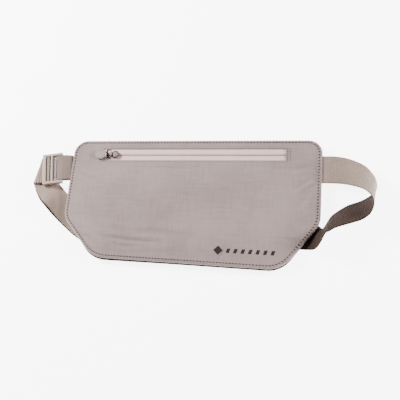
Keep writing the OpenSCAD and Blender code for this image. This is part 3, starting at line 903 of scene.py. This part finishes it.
mainRoute = smoothRoute(beltRoute + [belt["rootInside"]], belt["steps"])
beltMain, beltLength = strap("belt_strap", mainRoute, width, thick, "belt", None, 1.0,
                             inside="beltInsidePaintedShade")
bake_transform(beltMain)
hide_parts("elastic_belt")

tailEnd = belt["tailStations"]
tailRoute = lifted(smoothRoute(beltRoute[:tailEnd + 1], belt["steps"]), belt["layer"])
# the tail lies a little askew, so the inner face of the strap below, painted dark as shade, shows as a
# painted shadow band along its outer edge
tailRun = lengthAlong(tailRoute[:, :3])
askew = belt["askew"] * smoothstep(tailRun / 10) * smoothstep((tailRun[-1] - tailRun) / 20)
tailRoute[:, :3] -= tailRoute[:, 3:] * askew[:, None]
beltTail, tailLength = strap("belt_free_end", tailRoute, width - 0.4, thick, "belt", None,
                             3.0)
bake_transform(beltTail)
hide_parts("belt_tail")

# the turned end sits just past the tail's last station
hem = {"steps": 20, "from": 1, "to": 10, "thick": 1.7}
hemRoute = smoothRoute(beltRoute[tailEnd - 1:tailEnd + 3], hem["steps"])
hemRoute = lifted(hemRoute[hem["steps"] + hem["from"]:hem["steps"] + hem["to"]:2], hem["thick"])
beltHem = strap("belt_end_hem", hemRoute, width - 1, hem["thick"], "belt", "root", 5.0)[0]
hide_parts("belt_tail_hem")

loopStations = turnRoute + [(*fromBuckle(x, z), *acrossBuckle) for x, z in barRoute] + tailTurnRoute[::-1]
loopRoute = smoothRoute(loopStations, 6)
beltLoop, loopLength = strap("belt_round_bar", loopRoute, width - 1.4, thick, "belt", "insert",
                             7.0)
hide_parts("belt_adjuster_loop")
print("belt made, lengths in mm", round(beltLength), round(tailLength), round(loopLength))


tab = {"halfW": 14.3, "thick": 0.95, "rows": (12.2, 15.4), "rowHalf": 12.8,
       "pitch": 2.4, "length": 1.6, "radius": 0.2,
       "route": [(22.0, -1.6), (18.5, -0.9), (14, 0.1), (10, 0.6), (7.6, 0.5), (6.1, 0.85), (5.25, 2.2),
                 (6.1, 3.55), (7.6, 3.9), (10, 3.8), (13, 3.6), (16.5, 2.7), (19.5, 1.2), (21.5, -0.4)]}


def buckleTab(s):
    route = smoothRoute([(*fromBuckle(x, z), *acrossBuckle) for x, z in s["route"]], 5)
    piece, length = strap("buckle_tab_strap", route, 2 * s["halfW"], s["thick"], "tabCloth", "root",
                          11.0)
    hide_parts("buckle_tab")
    upper = s["route"][8:13]       # the layer that the stitches show on
    for number, x in enumerate(s["rows"]):
        top = np.interp(x, [p[0] for p in upper], [p[1] for p in upper]) + s["thick"] / 2
        line = [fromBuckle(x, top, y) for y in np.linspace(-s["rowHalf"], s["rowHalf"], 30)]
        stitchRow(f"buckle_tab_stitches_{number + 1}", line, *threadSize(s), "paleThread", "thread",
                  "buckle_tab_stitching" if number == 0 else None, lift=0.05)


buckleTab(tab)


# a moulded look: the CAD solid's own shape with every edge softened
def moulded(name, node, look, body, voxel, rounds):
    source = frame["nodes"][node]
    mesh = source.data.copy()
    mesh.transform(source.matrix_world)
    mesh.materials.clear()
    piece = bpy.data.objects.new(name, mesh)
    bpy.context.collection.objects.link(piece)
    mesh.materials.append(looks[look])
    remesh = piece.modifiers.new("remesh", "REMESH")
    remesh.mode = "VOXEL"
    remesh.voxel_size = voxel * mm
    remesh.use_smooth_shade = True
    soften = piece.modifiers.new("soften", "SMOOTH")
    soften.factor = 0.5
    soften.iterations = rounds
    applyAll(piece)
    if not piece.data.materials:
        piece.data.materials.append(looks[look])
    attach(piece, body)
    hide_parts(node)
    return piece


moulded("buckle_frame", "buckle_receiver", "buckle", "root", 0.28, 5)
moulded("buckle_ladder", "buckle_insert", "buckle", "insert", 0.28, 5)
moulded("buckle_plate", "buckle_release_plate", "plate", "release_plate", 0.22, 3)
print("buckle made")


sliderCap = {"x": -86.0, "rimR": 3.72, "rimTube": 0.36, "rimZ": 9.85,
             "dome": [(2.2, 9.7), (3.0, 9.86), (3.05, 9.98), (2.7, 10.12), (1.7, 10.22), (0.6, 10.26),
                      (0.1, 10.27)]}


# a profile of (radius, height) turned round an upright axis
def lathe(name, profile, centre, look, body, segments=48):
    points = []
    faces = []
    for r, z in profile:
        for k in range(segments):
            a = 2 * math.pi * k / segments
            points.append((centre[0] + r * math.cos(a), centre[1] + r * math.sin(a), z))
    rows = len(profile)
    for i in range(rows - 1):
        for k in range(segments):
            n = (k + 1) % segments
            faces.append((i * segments + k, i * segments + n, (i + 1) * segments + n, (i + 1) * segments + k))
    faces.append(tuple(reversed(range(segments))))
    faces.append(tuple(range((rows - 1) * segments, rows * segments)))
    piece = makePiece(name, points, faces, looks[look], body)
    return piece


moulded("slider_body", "zip_slider", "slider", "slider", 0.15, 2)
lathe("slider_cap", sliderCap["dome"], (sliderCap["x"], zipY), "slider", "slider")


def torusRing(name, radius, tube, z, centre, look, body, segments=64, sides=10):
    points = []
    faces = []
    for k in range(segments):
        a = 2 * math.pi * k / segments
        for m in range(sides):
            b = 2 * math.pi * m / sides
            r = radius + tube * math.cos(b)
            points.append((centre[0] + r * math.cos(a), centre[1] + r * math.sin(a), z + tube * math.sin(b)))
    for k in range(segments):
        for m in range(sides):
            p, q = k * sides + m, k * sides + (m + 1) % sides
            n = ((k + 1) % segments) * sides
            faces.append((p, n + m, n + (m + 1) % sides, q))
    piece = makePiece(name, points, faces, looks[look], body)
    return piece


# a dark ring round the cap's edge: painted shade standing in for the shadow along that edge
torusRing("slider_cap_shade_ring", sliderCap["rimR"], sliderCap["rimTube"], sliderCap["rimZ"], (sliderCap["x"], zipY),
          "ring", "slider")

pullLow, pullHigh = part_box("zip_pull_tab")
moulded("pull_leaf", "zip_pull_tab", "pull", "pull_tab", 0.2, 4)
leafR = (pullHigh[1] - pullLow[1]) / 2 / mm
leafX = (pullLow[0] - pouchMid[0]) / mm + leafR
pullTop = pullHigh[2] / mm
pull = {"rimIn": 0.95, "rimCut": 1.75, "rimHalf": 0.5, "rimRise": 0.36,
        "holeShadeR": 1.32, "holeShadeHalf": 3.75, "holeShadeBend": 0.75, "hole": 1.1}


# raised rim round the leaf's upper face
def pullRim(s):
    points = []
    faces = []
    segments, sides = 56, 8
    r = leafR - s["rimIn"]
    for k in range(segments):
        a = 2 * math.pi * k / segments
        x = min(leafX + r * math.cos(a), leafX + leafR - s["rimCut"])
        y = zipY + r * math.sin(a)
        for m in range(sides):
            b = 2 * math.pi * m / sides
            out = s["rimHalf"] * math.cos(b)
            z = pullTop - 0.1 + s["rimRise"] * math.sin(b)
            points.append((x + out * math.cos(a), y + out * math.sin(a), z))
    for k in range(segments):
        n = (k + 1) % segments
        for m in range(sides):
            other = (m + 1) % sides
            faces.append((k * sides + m, n * sides + m, n * sides + other, k * sides + other))
    piece = makePiece("pull_rim", points, faces, looks["pull"], "pull_tab")


pullRim(pull)


# dark crescent where the pull turns on the wire, thick in the middle and bent: painted shade standing in for
# the shadowed hole the wire passes through
def pullHoleShade(s):
    jointX = (pullHigh[0] - pouchMid[0]) / mm - s["hole"]
    points = []
    faces = []
    rings, sides = 15, 14
    for k in range(rings):
        t = -1 + 2 * k / (rings - 1)
        r = s["holeShadeR"] * math.sqrt(max(0.0, 1 - 0.82 * t * t))
        x = jointX + 0.1 + s["holeShadeBend"] * t * t
        for m in range(sides):
            b = 2 * math.pi * m / sides
            z = pullTop - s["hole"] + r * math.sin(b)
            points.append((x + r * math.cos(b), zipY + s["holeShadeHalf"] * t, z))
    for k in range(rings - 1):
        for m in range(sides):
            n = (m + 1) % sides
            faces.append((k * sides + m, k * sides + n, (k + 1) * sides + n, (k + 1) * sides + m))
    faces.append(tuple(reversed(range(sides))))
    faces.append(tuple((rings - 1) * sides + m for m in range(sides)))
    piece = makePiece("pull_hole_shade", points, faces, looks["wire"], "pull_tab")


pullHoleShade(pull)
print("slider and pull made")


# the wire, coils and stops keep their CAD shape and only get a finish
def dress(node, look):
    piece = frame["nodes"][node]
    piece.data.materials.clear()
    piece.data.materials.append(looks[look])
    for slotItem in piece.material_slots:
        slotItem.material = looks[look]


for node, look in (("zip_pull_link", "wire"), ("zip_coil_upper", "coil"), ("zip_coil_lower", "coil"),
                   ("zip_closed_stop", "stop"), ("zip_open_stop", "stop")):
    dress(node, look)
print("wire, coils and stops finished")

stage = {"floor": (0.95, 0.95, 0.95), "glow": 6.0, "world": 0.22, "half": 3.0, "below": 0.0006}
half, below = stage["half"], -stage["below"]
floorCorners = [(-half, -half, below), (half, -half, below), (half, half, below), (-half, half, below)]
floorMesh = bpy.data.meshes.new("floor")
floorMesh.from_pydata(floorCorners, [], [(0, 1, 2, 3)])
floor = bpy.data.objects.new("floor", floorMesh)
bpy.context.collection.objects.link(floor)
floorMat, floorShader = startMaterial("floor paper", 0.9)[::2]
floorShader.inputs["Base Color"].default_value = (*stage["floor"], 1)
floorShader.inputs["Emission Color"].default_value = (1, 1, 1, 1)
floorShader.inputs["Emission Strength"].default_value = stage["glow"]
floorMesh.materials.append(floorMat)

world = bpy.data.worlds.new("studio")
world.use_nodes = True
world.node_tree.nodes["Background"].inputs[0].default_value = (1, 1, 1, 1)
world.node_tree.nodes["Background"].inputs[1].default_value = stage["world"]
bpy.context.scene.world = world

# two low keys, one at each side: the right one stays low, so it mostly lights the crest of the loop
lamps = [
    {"name": "key right", "at": (1.25, 0.15, 0.5), "size": 0.4, "power": 37.0},
    {"name": "key left", "at": (-0.85, 0.4, 0.62), "size": 0.35, "power": 37.0},
]
for lamp in lamps:
    data = bpy.data.lights.new(lamp["name"], "AREA")
    data.energy = lamp["power"]
    data.size = lamp["size"]
    light = bpy.data.objects.new(lamp["name"], data)
    bpy.context.collection.objects.link(light)
    light.location = lamp["at"]
    light.rotation_euler = (Vector((0, 0, 0)) - Vector(lamp["at"])).to_track_quat("-Z", "Y").to_euler()
print("stage made")
